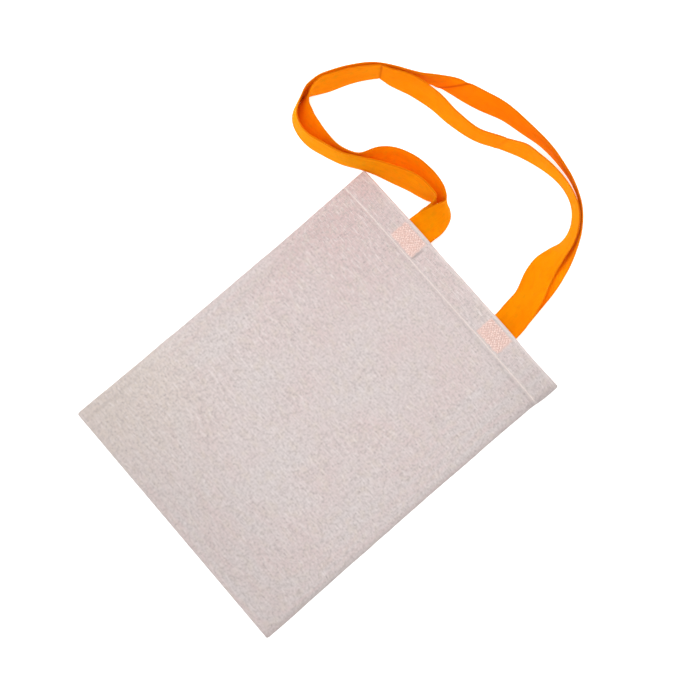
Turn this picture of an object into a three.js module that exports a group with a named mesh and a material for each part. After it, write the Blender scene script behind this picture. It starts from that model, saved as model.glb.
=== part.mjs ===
// A flat canvas tote bag with two cotton shoulder straps, lying on its back.
// Millimetres. +X runs along the mouth, +Y from the base to the mouth, +Z up from the surface.
// The origin is the middle of the back panel's outer face, on the surface.

import * as THREE from 'three';

const { clamp, lerp, smoothstep, DEG2RAD } = THREE.MathUtils;

// Driving dimensions of the bag
const BAG_WIDTH = 231.1;
const BAG_HEIGHT = 299.7;
const BAG_THICKNESS = 10.1;
const CANVAS = 1.2;
const HEM_DEPTH = 21.4;
const HEM_THICKNESS = 2 * CANVAS;
const HEM_STEP = 0.8;
const BACK_HEM_SHOWS = 1.4;
const MOUTH_SAG = 0.2;
const SEAT_GAP = 0.3;
const CORNER_RADIUS = 2.5;
const SIDE_PULL = 0.9;
const SWELL_LENGTH = 110;
const HEM_LIFT_LENGTH = 45;
const ARCH_POWER = 6;

// Driving dimensions of the straps
const STRAP_WIDTH = 25.4;
const STRAP_THICKNESS = 1.2;
const STRAP_SPACING = 102.6;
const STRAP_OFFSET = 2.8;
const STRAP_SEWN = 20;

// Fineness of the facets
const FRONT_COLUMNS = 22;
const FRONT_ROW_SPACING = 11;
const BACK_COLUMNS = 5;
const BACK_ROW_SPACING = 60;
const CORNER_STEPS = [0, 0.3, 1, CORNER_RADIUS, 8];
const STRAP_STEPS_PER_ROW = 3;

// Places that follow from them
const BASE_Y = -BAG_HEIGHT / 2;
const MOUTH_Y = BAG_HEIGHT / 2;
const HEM_LINE_Y = MOUTH_Y - HEM_DEPTH;
const SEWN_END_Y = MOUTH_Y - STRAP_SEWN;
const LEFT_EDGE_X = STRAP_OFFSET - STRAP_SPACING / 2 + STRAP_WIDTH / 2;
const RIGHT_EDGE_X = STRAP_OFFSET + STRAP_SPACING / 2 - STRAP_WIDTH / 2;
const SEAM_EDGE = 2 * CANVAS + SEAT_GAP;
const HEM_EDGE = 2 * HEM_THICKNESS + SEAT_GAP;
const BACK_STRAP_RISE = HEM_THICKNESS + SEAT_GAP;
const FRONT_STRAP_RISE = BAG_THICKNESS - HEM_THICKNESS - MOUTH_SAG - SEAT_GAP - STRAP_THICKNESS;

// Each strap from its left end to its right end. x and y place its right-hand edge, which it stands
// on where it leans. lean turns the strap about that edge, from flat (0) through upright (90) to
// leaning over to the right. rise is the height of that edge above the surface. skew, where given,
// turns the strap's crosswise line back from square, as a strap does where it twists as it bends.
const FRONT_HANDLE = [
  { x: LEFT_EDGE_X, y: SEWN_END_Y, lean: 0, rise: FRONT_STRAP_RISE },
  { x: LEFT_EDGE_X, y: MOUTH_Y, lean: 0, rise: FRONT_STRAP_RISE },
  { x: -35, y: 160.8, lean: 21, rise: 5.4, skew: -5 },
  { x: -36.9, y: 169.8, lean: 44, rise: 4.4, skew: -15 },
  { x: -41.3, y: 177.6, lean: 61, rise: 2.8, skew: -22 },
  { x: -48.6, y: 182, lean: 78, rise: 1.2, skew: -21 },
  { x: -57.2, y: 179, lean: 103, rise: 0.4, skew: -10 },
  { x: -66.2, y: 177.2, lean: 113.5, rise: 0.2 },
  { x: -76.6, y: 176.8, lean: 115.5, rise: 0.2 },
  { x: -90, y: 175.6, lean: 113, rise: 0.2 },
  { x: -103, y: 169.4, lean: 114.5, rise: 0.2 },
  { x: -113.5, y: 160.6, lean: 110, rise: 0.2 },
  { x: -124.5, y: 150.2, lean: 92.5, rise: 0.2 },
  { x: -137.5, y: 141.6, lean: 97, rise: 0.2 },
  { x: -149, y: 136.6, lean: 108, rise: 0.2 },
  { x: -163.8, y: 133.2, lean: 120, rise: 0.2 },
  { x: -181.2, y: 135.8, lean: 122, rise: 0.2 },
  { x: -190.2, y: 144.3, lean: 113, rise: 0.2 },
  { x: -192, y: 155.2, lean: 95, rise: 0.2 },
  { x: -187.8, y: 164.7, lean: 77.5, rise: 0.2 },
  { x: -184.2, y: 172.2, lean: 74, rise: 0.2 },
  { x: -178.3, y: 188.7, lean: 78, rise: 0.2 },
  { x: -170.7, y: 203.4, lean: 82, rise: 0.2 },
  { x: -165.8, y: 209.8, lean: 83, rise: 0.2 },
  { x: -155.7, y: 212.8, lean: 75, rise: 0.2 },
  { x: -147.2, y: 216.1, lean: 70, rise: 0.2 },
  { x: -139.2, y: 219.5, lean: 68.5, rise: 0.2 },
  { x: -120.4, y: 224.6, lean: 70.5, rise: 0.2 },
  { x: -98.6, y: 227.7, lean: 76, rise: 0.2 },
  { x: -76, y: 234.2, lean: 83, rise: 0.2 },
  { x: -58.3, y: 244.6, lean: 83.5, rise: 0.2 },
  { x: -40.2, y: 253.4, lean: 82, rise: 0.2 },
  { x: -15.5, y: 260.8, lean: 88, rise: 0.2 },
  { x: 3.1, y: 261, lean: 91.5, rise: 0.2 },
  { x: 18.2, y: 254.8, lean: 88, rise: 0.2 },
  { x: 28.1, y: 243.9, lean: 82, rise: 0.2 },
  { x: 31.8, y: 230.7, lean: 69, rise: 0.2 },
  { x: 29.5, y: 219.3, lean: 49, rise: 0.4 },
  { x: 27.9, y: 206.4, lean: 31.5, rise: 1.3, skew: -2 },
  { x: 30.8, y: 192.8, lean: 23.5, rise: 2.5, skew: -6 },
  { x: 37.8, y: 176.6, lean: 18, rise: 3.6, skew: -6 },
  { x: 40.3, y: 162.8, lean: 9, rise: 4.8, skew: -4 },
  { x: RIGHT_EDGE_X, y: MOUTH_Y, lean: 0, rise: FRONT_STRAP_RISE },
  { x: RIGHT_EDGE_X, y: SEWN_END_Y, lean: 0, rise: FRONT_STRAP_RISE },
];
const BACK_HANDLE = [
  { x: LEFT_EDGE_X, y: SEWN_END_Y, lean: 0, rise: BACK_STRAP_RISE },
  { x: LEFT_EDGE_X, y: MOUTH_Y, lean: 0, rise: BACK_STRAP_RISE },
  { x: -35.8, y: 160, lean: 8, rise: 2, skew: -4 },
  { x: -37, y: 168, lean: 25, rise: 0.5, skew: -14 },
  { x: -41.5, y: 174.2, lean: 45, rise: 0.2, skew: -29 },
  { x: -46.5, y: 176.6, lean: 54, rise: 0.2, skew: -40 },
  { x: -52.4, y: 176.7, lean: 69, rise: 0.2, skew: -40 },
  { x: -58.4, y: 175.6, lean: 90, rise: 0.2, skew: -25 },
  { x: -65, y: 172, lean: 102, rise: 0.2, skew: -7 },
  { x: -71, y: 169.4, lean: 109, rise: 0.2 },
  { x: -80, y: 166.2, lean: 112, rise: 0.2 },
  { x: -93, y: 160.8, lean: 109, rise: 0.2 },
  { x: -106.5, y: 155, lean: 104, rise: 0.2 },
  { x: -118.7, y: 148.6, lean: 98, rise: 0.2 },
  { x: -131.7, y: 140, lean: 97, rise: 0.2 },
  { x: -148, y: 133.2, lean: 98, rise: 0.2 },
  { x: -161.9, y: 129.2, lean: 97, rise: 0.2 },
  { x: -175.1, y: 129.6, lean: 97, rise: 0.2 },
  { x: -185.7, y: 133.8, lean: 99.5, rise: 0.2 },
  { x: -193, y: 142.4, lean: 102, rise: 0.2 },
  { x: -195, y: 150.6, lean: 98, rise: 0.2 },
  { x: -194.1, y: 156.8, lean: 90, rise: 0.2 },
  { x: -189.9, y: 165.9, lean: 77.5, rise: 0.2 },
  { x: -186.3, y: 173.2, lean: 73.5, rise: 0.2 },
  { x: -180.4, y: 189.7, lean: 77.5, rise: 0.2 },
  { x: -172.9, y: 204.8, lean: 81.5, rise: 0.2 },
  { x: -167.8, y: 212.4, lean: 85.5, rise: 0.2 },
  { x: -159.5, y: 220.3, lean: 89, rise: 0.2 },
  { x: -150.5, y: 226.5, lean: 89, rise: 0.2 },
  { x: -141.5, y: 233.2, lean: 90.5, rise: 0.2 },
  { x: -131.5, y: 241, lean: 89.5, rise: 0.2 },
  { x: -119.6, y: 245.5, lean: 79, rise: 0.2 },
  { x: -106.8, y: 249.7, lean: 75, rise: 0.2 },
  { x: -95.1, y: 254, lean: 75, rise: 0.2 },
  { x: -75.2, y: 262.6, lean: 79.5, rise: 0.2 },
  { x: -56.1, y: 267, lean: 83, rise: 0.2 },
  { x: -36.2, y: 271.4, lean: 90, rise: 0.2 },
  { x: -16, y: 271.8, lean: 94.5, rise: 0.2 },
  { x: 4.1, y: 268.9, lean: 98, rise: 0.2 },
  { x: 24.3, y: 259, lean: 96.5, rise: 0.2 },
  { x: 36.7, y: 244, lean: 90.5, rise: 0.2 },
  { x: 40, y: 228.1, lean: 74, rise: 0.2 },
  { x: 39.4, y: 218.2, lean: 58, rise: 0.2 },
  { x: 38, y: 207.5, lean: 41.5, rise: 0.2 },
  { x: 37.3, y: 194.3, lean: 26.5, rise: 0.2 },
  { x: 37.9, y: 179.8, lean: 17, rise: 0.4 },
  { x: 39.4, y: 164.4, lean: 8, rise: 1.6 },
  { x: RIGHT_EDGE_X, y: MOUTH_Y, lean: 0, rise: BACK_STRAP_RISE },
  { x: RIGHT_EDGE_X, y: SEWN_END_Y, lean: 0, rise: BACK_STRAP_RISE },
];

const UP = new THREE.Vector3(0, 0, 1);

function closedMesh(name, vertices, triangles, color) {
  const geometry = new THREE.BufferGeometry();
  geometry.setAttribute('position', new THREE.Float32BufferAttribute(vertices.flat(), 3));
  geometry.setIndex(triangles.flat());
  geometry.computeVertexNormals();
  const material = new THREE.MeshStandardMaterial({ color, roughness: 0.95, metalness: 0 });
  const mesh = new THREE.Mesh(geometry, material);
  mesh.name = name;
  return mesh;
}

// Half the bag's width: round at the base corners, drawn in a little along the side seams.
function halfWidth(y) {
  const intoCorner = clamp(CORNER_RADIUS - (y - BASE_Y), 0, CORNER_RADIUS);
  const rounding = CORNER_RADIUS - Math.sqrt(CORNER_RADIUS ** 2 - intoCorner ** 2);
  const pull = SIDE_PULL * Math.sin(Math.PI * clamp((y - BASE_Y) / BAG_HEIGHT, 0, 1));
  return BAG_WIDTH / 2 - rounding - pull;
}

// Height of the front panel's outer face: low at the base and side seams, swelling to the middle.
function outerHeight(u, y) {
  const swell = 1 - (1 - clamp((y - BASE_Y) / SWELL_LENGTH, 0, 1)) ** 3;
  const crown = lerp(SEAM_EDGE, BAG_THICKNESS, swell);
  const hemLift = smoothstep(y, HEM_LINE_Y - HEM_LIFT_LENGTH, HEM_LINE_Y);
  const edge = lerp(SEAM_EDGE, HEM_EDGE, hemLift);
  return lerp(crown, edge, Math.abs(u) ** ARCH_POWER);
}

// The cloth is double where the hem is turned in, with the turned layer on the inside.
function clothThickness(y) {
  return y < HEM_LINE_Y - HEM_STEP / 2 ? CANVAS : HEM_THICKNESS;
}

// A closed wall between an upper and a lower face, both given over columns u (-1 to 1) and rows y.
function panel(name, columns, rows, mouthShows, upper, lower, color) {
  const vertices = [];
  const triangles = [];
  const across = columns + 1;
  const layer = across * rows.length;
  for (const height of [upper, lower]) {
    for (const y of rows) {
      for (let i = 0; i < across; i += 1) {
        const u = lerp(-1, 1, i / columns);
        const shows = y === MOUTH_Y ? mouthShows * (1 + u) / 2 : 0;
        vertices.push([u * halfWidth(y), y + shows, height(u, y)]);
      }
    }
  }
  const quad = (a, b, c, d) => triangles.push([a, b, c], [a, c, d]);
  for (let j = 0; j < rows.length - 1; j += 1) {
    const row = j * across;
    const next = row + across;
    for (let i = 0; i < columns; i += 1) {
      quad(row + i, row + i + 1, next + i + 1, next + i);
      quad(layer + row + i, layer + next + i, layer + next + i + 1, layer + row + i + 1);
    }
    quad(row, next, layer + next, layer + row);
    quad(row + columns, layer + row + columns, layer + next + columns, next + columns);
  }
  const last = (rows.length - 1) * across;
  for (let i = 0; i < columns; i += 1) {
    quad(i, layer + i, layer + i + 1, i + 1);
    quad(last + i, last + i + 1, layer + last + i + 1, layer + last + i);
  }
  return closedMesh(name, vertices, triangles, color);
}

// Rows from the base to the mouth: close together at the round corners and at the hem's step.
function panelRows(spacing) {
  const cornerRows = CORNER_STEPS.map((step) => BASE_Y + step);
  const hemRows = [HEM_LINE_Y - HEM_STEP, HEM_LINE_Y, lerp(HEM_LINE_Y, MOUTH_Y, 0.5), MOUTH_Y];
  const from = cornerRows.at(-1);
  const count = Math.round((hemRows[0] - from) / spacing);
  const between = Array.from({ length: count - 1 }, (_, i) => lerp(from, hemRows[0], (i + 1) / count));
  return [...cornerRows, ...between, ...hemRows];
}

// A flat strap of constant width whose right-hand edge, lean and rise follow a table's rows smoothly.
function strap(name, table, color) {
  const feet = table.map((row) => new THREE.Vector3(row.x, row.y, row.rise + STRAP_THICKNESS / 2));
  const twists = table.map((row) => new THREE.Vector3(row.lean, row.skew ?? 0, 0));
  const footCurve = new THREE.CatmullRomCurve3(feet, false, 'centripetal');
  const twistCurve = new THREE.CatmullRomCurve3(twists, false, 'centripetal');
  const steps = (table.length - 1) * STRAP_STEPS_PER_ROW;
  const vertices = [];
  const triangles = [];
  for (let i = 0; i <= steps; i += 1) {
    const foot = footCurve.getPoint(i / steps);
    const twist = twistCurve.getPoint(i / steps).multiplyScalar(DEG2RAD);
    const along = footCurve.getTangent(i / steps).setZ(0).normalize().applyAxisAngle(UP, twist.y);
    const left = new THREE.Vector3().crossVectors(UP, along);
    const across = left.multiplyScalar(Math.cos(twist.x)).addScaledVector(UP, Math.sin(twist.x));
    const face = new THREE.Vector3().crossVectors(along, across);
    for (const [reach, depth] of [[0, 1], [1, 1], [1, -1], [0, -1]]) {
      const corner = foot.clone();
      corner.addScaledVector(across, reach * STRAP_WIDTH);
      corner.addScaledVector(face, depth * STRAP_THICKNESS / 2);
      vertices.push(corner.toArray());
    }
  }
  for (let i = 0; i < steps; i += 1) {
    for (let k = 0; k < 4; k += 1) {
      const a = 4 * i + k;
      const b = 4 * i + (k + 1) % 4;
      triangles.push([a, a + 4, b], [b, a + 4, b + 4]);
    }
  }
  const last = 4 * steps;
  triangles.push([0, 1, 2], [0, 2, 3], [last, last + 2, last + 1], [last, last + 3, last + 2]);
  return closedMesh(name, vertices, triangles, color);
}

const CANVAS_COLOR = 0xdacfcd;
const STRAP_COLOR = 0xfb8b04;
const frontInner = (u, y) => outerHeight(u, y) - clothThickness(y);

const tote = new THREE.Group();
const frontRows = panelRows(FRONT_ROW_SPACING);
const backRows = panelRows(BACK_ROW_SPACING);
const backInner = (u, y) => clothThickness(y);
const backOuter = () => 0;
tote.add(panel('front_panel', FRONT_COLUMNS, frontRows, 0, outerHeight, frontInner, CANVAS_COLOR));
tote.add(panel('back_panel', BACK_COLUMNS, backRows, BACK_HEM_SHOWS, backInner, backOuter, CANVAS_COLOR));
tote.add(strap('handle_front', FRONT_HANDLE, STRAP_COLOR));
tote.add(strap('handle_back', BACK_HANDLE, STRAP_COLOR));

export default tote;
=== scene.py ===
# %% [markdown]
# This lesson dresses a plain canvas tote bag. It lies on its back, with its two orange straps
# looped on the surface above the mouth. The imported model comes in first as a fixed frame: its four
# solids say where each cloth piece is and how big it may be. What follows makes finer cloth in the
# same places. +X runs along the mouth, +Y from the base to the mouth, and +Z up.

# %% Load the frame
import math

import bpy
import numpy as np
from mathutils import Matrix, Vector, noise


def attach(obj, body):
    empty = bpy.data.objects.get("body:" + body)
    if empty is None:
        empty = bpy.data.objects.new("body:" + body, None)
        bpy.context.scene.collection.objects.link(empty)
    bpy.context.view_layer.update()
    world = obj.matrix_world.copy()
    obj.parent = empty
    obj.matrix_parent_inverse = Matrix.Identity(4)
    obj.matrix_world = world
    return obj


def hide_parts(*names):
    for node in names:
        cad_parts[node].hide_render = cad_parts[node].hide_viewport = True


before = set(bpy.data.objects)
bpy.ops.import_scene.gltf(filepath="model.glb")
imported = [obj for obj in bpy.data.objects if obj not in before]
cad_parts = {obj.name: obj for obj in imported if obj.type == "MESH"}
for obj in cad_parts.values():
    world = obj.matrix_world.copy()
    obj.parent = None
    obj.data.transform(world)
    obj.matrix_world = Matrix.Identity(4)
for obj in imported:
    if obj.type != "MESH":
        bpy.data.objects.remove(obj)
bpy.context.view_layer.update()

print("frame nodes:", sorted(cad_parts))

# %% [markdown]
# The bag was cut and sewn to a few sizes, so they come first and everything else follows from them.
# They are typed in millimetres, as on a pattern sheet, and only turned to metres when a mesh is
# made. The height, width and thickness are the real bag's. The cloth is a plain canvas, doubled
# where the hem is turned in at the mouth.

# %% Sizes of the bag
MM = 0.001
BAG_WIDTH, BAG_HEIGHT, BAG_THICKNESS = 231.1, 299.7, 10.1
CANVAS = 1.2
PANEL_GAP = 0.3
HEM_DEPTH = 21.4
HEM_THICKNESS = 2 * CANVAS
SEAM_EDGE = 2 * CANVAS + PANEL_GAP
HEM_EDGE = 2 * HEM_THICKNESS + PANEL_GAP
BASE_Y, MOUTH_Y = -BAG_HEIGHT / 2, BAG_HEIGHT / 2
HEM_LINE_Y = MOUTH_Y - HEM_DEPTH
CORNER_RADIUS = 2.5
SIDE_PULL = 0.9
SWELL_LENGTH = 110
HEM_LIFT_LENGTH = 45
ARCH_POWER = 6
STRAP_WIDTH, STRAP_THICKNESS = 25.4, 1.2
STRAP_MIDDLES = (-48.5, 54.1)
print(f"hem stitched {HEM_LINE_Y - BASE_Y:.1f} mm above the base")

# %% [markdown]
# Cloth is never quite flat or quite straight. Three small helpers give that everywhere below: a soft
# step from 0 to 1, smooth random heights, and a bell. The random heights come from Blender's own
# noise, which is the same in every run, so the bag always comes out alike.

# %% Helpers for soft shapes
def ramp(value, start, end):
    """0 before start, 1 after end, and a soft S between them."""
    t = np.clip((np.asarray(value, float) - start) / (end - start), 0, 1)
    return t * t * (3 - 2 * t)


def wander(x, y, size, seed):
    """Smooth random heights from about -1 to 1 that change over about size millimetres."""
    x, y = np.broadcast_arrays(np.asarray(x, float), np.asarray(y, float))
    heights = [noise.noise((a / size, b / size, seed)) for a, b in zip(x.ravel(), y.ravel())]
    return np.reshape(heights, x.shape)


def hump(value, middle, reach):
    """A bell of height 1 round middle that has died away at about twice its reach."""
    return np.exp(-(((value - middle) / reach) ** 2))


print("soft step halfway:", float(ramp(0.5, 0, 1)))

# %% [markdown]
# The front panel swells from the base and the side seams to the bag's full thickness, as an empty
# bag does when it is laid down. A first height field gives that large shape, the same as the solid
# in the frame. A drawn curve or a sculpt could do it too, but a formula lets the stitches ask for
# the height of the cloth at any place later on.

# %% Large shape of the bag
def half_width(y):
    """Half the bag's width: round at the base corners, pulled in a little along the seams."""
    into_corner = np.clip(CORNER_RADIUS - (y - BASE_Y), 0, CORNER_RADIUS)
    rounding = CORNER_RADIUS - np.sqrt(CORNER_RADIUS**2 - into_corner**2)
    share = np.clip((y - BASE_Y) / BAG_HEIGHT, 0, 1)
    return BAG_WIDTH / 2 - rounding - SIDE_PULL * np.sin(np.pi * share)


def swelling(x, y):
    """Height of the front panel's outer face before any wrinkle."""
    u = np.clip(np.abs(x) / half_width(y), 0, 1)
    swell = 1 - (1 - np.clip((y - BASE_Y) / SWELL_LENGTH, 0, 1)) ** 3
    crown = SEAM_EDGE + (BAG_THICKNESS - SEAM_EDGE) * swell
    edge = SEAM_EDGE + (HEM_EDGE - SEAM_EDGE) * ramp(y, HEM_LINE_Y - HEM_LIFT_LENGTH, HEM_LINE_Y)
    return crown + (edge - crown) * u**ARCH_POWER


print(f"height in the middle: {float(swelling(0.0, 0.0)):.1f} mm")

# %% [markdown]
# Sewing leaves its own small relief. The hem's seam sinks into the cloth and puckers it, the strap
# ends stand out under the hem, and the zigzag blocks press them down again. Beside the left block the
# needle caught a short sharp fold. Each is one term that is added to the height, so one can be taken
# out or made stronger without touching the others.

# %% Relief that the sewing leaves
BLOCK_LOW_Y, BLOCK_HIGH_Y = 130.4, 146.0
BLOCK_HALF, BLOCK_SOFT = 12.4, 1.2
BLOCK_RIM_OUT, BLOCK_RIM_IN = 0.8, 0.4
SEAM_SINK, BLOCK_SINK = 0.6, 0.4
HEM_PUCKER, DOUBLE_RISE, STRAP_END_RISE = 0.22, 0.35, 0.55
TUCK_X, TUCK_LOW_Y, TUCK_HIGH_Y = -35.0, 130.0, 143.5
TUCK_SLANT, TUCK_REACH = 0.05, 0.8


def beside(x, middles, half, soft):
    """1 within half of any of the middles, falling to 0 over soft."""
    near = np.min([np.abs(x - middle) for middle in middles], axis=0)
    return 1 - ramp(near, half - soft / 2, half + soft / 2)


def block_share(x, y):
    """1 inside the zigzag blocks that hold the strap ends."""
    above = ramp(y, BLOCK_LOW_Y - BLOCK_RIM_OUT, BLOCK_LOW_Y + BLOCK_RIM_IN)
    below = 1 - ramp(y, BLOCK_HIGH_Y - BLOCK_RIM_IN, BLOCK_HIGH_Y + BLOCK_RIM_OUT)
    return beside(x, STRAP_MIDDLES, BLOCK_HALF, BLOCK_SOFT) * (above * below)


def hem_relief(x, y):
    """Sunk seam, puckers beside it, double cloth above it, and the strap ends underneath."""
    seam = -SEAM_SINK * hump(y, HEM_LINE_Y, reach=1.0)
    pucker = HEM_PUCKER * hump(y, HEM_LINE_Y - 1, reach=5) * wander(x, 0.35 * y, size=4.2, seed=3.0)
    double = DOUBLE_RISE * ramp(y, HEM_LINE_Y + 0.5, HEM_LINE_Y + 3.5)
    over_strap = beside(x, STRAP_MIDDLES, STRAP_WIDTH / 2, 1.6)
    ends = STRAP_END_RISE * over_strap * ramp(y, HEM_LINE_Y + 0.8, HEM_LINE_Y + 2.4)
    return seam + pucker + double + ends - BLOCK_SINK * block_share(x, y)


def tuck(x, y):
    """A short sharp fold beside the left block, where the hem was caught by the needle."""
    along = ramp(y, TUCK_LOW_Y - 1, TUCK_LOW_Y + 1.5) * (1 - ramp(y, TUCK_HIGH_Y - 5, TUCK_HIGH_Y))
    return along * hump(x, TUCK_X + TUCK_SLANT * (y - TUCK_LOW_Y), TUCK_REACH)


block_middle_y = (BLOCK_LOW_Y + BLOCK_HIGH_Y) / 2
print(f"relief in a block: {float(hem_relief(STRAP_MIDDLES[0], block_middle_y)):.2f} mm")

# %% [markdown]
# The whole outer face of the front panel is the large shape, the relief of the sewing, and broad
# soft billows that fade out at the seams, where two layers hold the cloth. Along the seams the
# thread draws the cloth into short puckers instead, and the seam allowance inside shows as a faint
# ridge along the sides.

# %% Outer face of the front panel
ALLOWANCE, ALLOWANCE_RISE = 9.0, 0.3
HELD_REACH, PUCKER_REACH = 11, 4.5
BILLOW_HEIGHT, BILLOW_SIZE = 0.6, 52
RIPPLE_HEIGHT, RIPPLE_SIZE = 0.25, 19
HEM_CALM = 0.65
SEAM_PUCKER, SEAM_DRAWN_DOWN, TUCK_DEPTH = 0.4, 0.35, 0.9


def seam_distance(x, y):
    """How far a place is from the nearest side seam or from the base."""
    return np.minimum(half_width(y) - np.abs(x), y - BASE_Y)


def front_face(x, y):
    """Height of the front panel's outer face, wrinkles and sewing included."""
    seam = np.maximum(seam_distance(x, y), 0)
    held = np.exp(-seam / HELD_REACH)
    ripple = RIPPLE_HEIGHT * wander(x, y, size=RIPPLE_SIZE, seed=7.5)
    billow = BILLOW_HEIGHT * wander(x, y, size=BILLOW_SIZE, seed=1.5) + ripple
    calm = 1 - HEM_CALM * ramp(y, HEM_LINE_Y - 6, HEM_LINE_Y + 2)
    pucker = SEAM_PUCKER * np.exp(-seam / PUCKER_REACH) * wander(0.4 * x, y, size=5.5, seed=11.0)
    from_side = half_width(y) - np.abs(x)
    allowance = ALLOWANCE_RISE * (1 - ramp(from_side, ALLOWANCE - 1.2, ALLOWANCE + 1.2))
    drawn_down = SEAM_DRAWN_DOWN * hump(seam, 0, reach=1.8)
    wrinkles = billow * (1 - held) * calm + pucker + allowance * (1 - held) - drawn_down
    return swelling(x, y) + wrinkles + hem_relief(x, y) - TUCK_DEPTH * tuck(x, y)


print(f"front face at the middle: {float(front_face(0.0, 0.0)):.2f} mm")

# %% [markdown]
# A wall of cloth is a closed shell: an upper face, a lower face and a round rim between them. The
# faces are grids of the same size, so the shell is made in a few lines of numpy. Solidify could
# give the thickness as well, but the hem is twice as thick as the rest, and here each face has a
# height of its own.

# %% A closed wall of cloth
RIM_STEPS = 4
UP = np.array([0.0, 0.0, 1.0])


def in_scene(name, data):
    """A new object of the scene, at the origin, that shows the data."""
    shown = bpy.data.objects.new(name, data)
    bpy.context.scene.collection.objects.link(shown)
    return shown


def plain_mesh(name, points, faces):
    """An object at the origin whose place, in millimetres, is in its mesh."""
    mesh = bpy.data.meshes.new(name)
    mesh.from_pydata((np.asarray(points) * MM).tolist(), [], faces)
    mesh.shade_smooth()
    return in_scene(name, mesh)


def quads(a, b, c, d):
    """Faces with four corners, from four arrays of point numbers."""
    return np.stack([a, b, c, d], -1).reshape(-1, 4).tolist()


def cloth_wall(name, x, y, upper, lower):
    """A closed shell between two height fields over one grid, with a round rim."""
    grid = np.arange(x.size).reshape(x.shape)
    loop = np.concatenate([grid[0, :-1], grid[:-1, -1], grid[-1, :0:-1], grid[:0:-1, 0]])
    top = np.stack([x, y, upper], -1).reshape(-1, 3)
    under = np.stack([x, y, lower], -1).reshape(-1, 3)
    middle = (top[loop] + under[loop]) / 2
    half = (top[loop, 2] - under[loop, 2])[:, None] / 2
    run = np.roll(middle, -1, 0) - np.roll(middle, 1, 0)
    outward = np.stack([run[:, 1], -run[:, 0], 0 * run[:, 0]], -1)
    outward /= np.linalg.norm(outward, axis=1)[:, None]
    turns = np.linspace(0, np.pi, RIM_STEPS + 1)[1:-1]
    rims = [middle + half * (outward * np.sin(turn) + UP * np.cos(turn)) for turn in turns]
    faces = quads(grid[:-1, :-1], grid[:-1, 1:], grid[1:, 1:], grid[1:, :-1])
    low = grid + x.size
    faces += quads(low[:-1, :-1], low[1:, :-1], low[1:, 1:], low[:-1, 1:])
    loops = [loop, *[2 * x.size + k * len(loop) + np.arange(len(loop)) for k in range(len(rims))]]
    loops.append(loop + x.size)
    for a, b in zip(loops, loops[1:]):
        faces += quads(a, b, np.roll(b, -1), np.roll(a, -1))
    return plain_mesh(name, np.concatenate([top, under, *rims]), faces)


print("rim steps:", RIM_STEPS)

# %% [markdown]
# Both panels are cut to one outline. The rows lie close together at the round base corners and in
# the hem, where the sewing makes small shapes, and further apart on the open cloth. The outline is
# drawn in by half a thickness, because the round rim stands out by that much, and it wavers a
# little. At the right end of the mouth the hem flares out past the side seam.

# %% Plan of the panels
RIM = CANVAS / 2
CORNER_ROWS = (0.0, 0.15, 0.5, 1.0, 1.8, 3.0)
FLARE = 1.5
MOUTH_WAVER, SIDE_WAVER = 0.35, 0.3


def bag_plan(column_spacing, row_spacing, hem_spacing):
    """A grid over the bag, base to mouth and left to right: the share across, x and y."""
    start, hem = BASE_Y + RIM, HEM_LINE_Y - 4
    corner = start + np.array(CORNER_ROWS)
    open_rows = np.linspace(corner[-1], hem, round((hem - corner[-1]) / row_spacing) + 1)[1:-1]
    hem_rows = np.linspace(hem, MOUTH_Y - CANVAS, round((MOUTH_Y - hem) / hem_spacing) + 1)
    columns = np.linspace(-1, 1, round(BAG_WIDTH / column_spacing) + 1)
    u, y = np.meshgrid(columns, np.concatenate([corner, open_rows, hem_rows]))
    at_hem = ramp(y, HEM_LINE_Y - 8, HEM_LINE_Y + 10)
    x = u * (half_width(y) - RIM * (1 + ramp(y, HEM_LINE_Y - 2, HEM_LINE_Y + 2)))
    x += FLARE * ramp(u, 0.9, 1) * at_hem
    x += SIDE_WAVER * np.sign(u) * np.abs(u) ** 12 * wander(9 * np.sign(u), y, size=16, seed=21.0)
    y = y + MOUTH_WAVER * ramp(y, HEM_LINE_Y, MOUTH_Y) * wander(x, 0, size=34, seed=25.0)
    return u, x, y


def cloth_thickness(y):
    """One layer of canvas, and two in the hem."""
    return CANVAS + (HEM_THICKNESS - CANVAS) * ramp(y, HEM_LINE_Y - 1, HEM_LINE_Y + 0.4)


_, front_x, front_y = bag_plan(column_spacing=1.0, row_spacing=2.0, hem_spacing=0.62)
front_z = front_face(front_x, front_y)
front_inside = front_z - cloth_thickness(front_y)
front_cloth = cloth_wall("front_cloth", front_x, front_y, front_z, front_inside)
print("front panel:", len(front_cloth.data.polygons), "faces")

# %% [markdown]
# The back panel carries the bag. It lies flat on the surface, so its outer face has only a hint of
# unevenness, and every seam on it is sunk upwards into the cloth. Its mouth edge stands out a
# little past the front one towards the right, as the two hems never close quite level.

# %% Back panel
BACK_HEM_SHOWS = 1.4
BACK_UNEVEN, BACK_PUCKER = 0.12, 0.12
BACK_SEAM_SINK, BACK_SEAM_RISE = 0.5, 0.15


def back_face(x, y):
    """Height of the back panel's outer face, which is the lower one, above the surface."""
    seam = np.maximum(seam_distance(x, y), 0)
    uneven = BACK_UNEVEN + BACK_UNEVEN * wander(x, y, size=24, seed=31.0)
    pucker = BACK_PUCKER * np.exp(-seam / PUCKER_REACH) * (1 + wander(0.4 * x, y, size=5.5, seed=37.0))
    sunk = BACK_SEAM_SINK * hump(y, HEM_LINE_Y, reach=1.2) + BLOCK_SINK * block_share(x, y)
    return uneven + pucker + sunk


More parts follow.
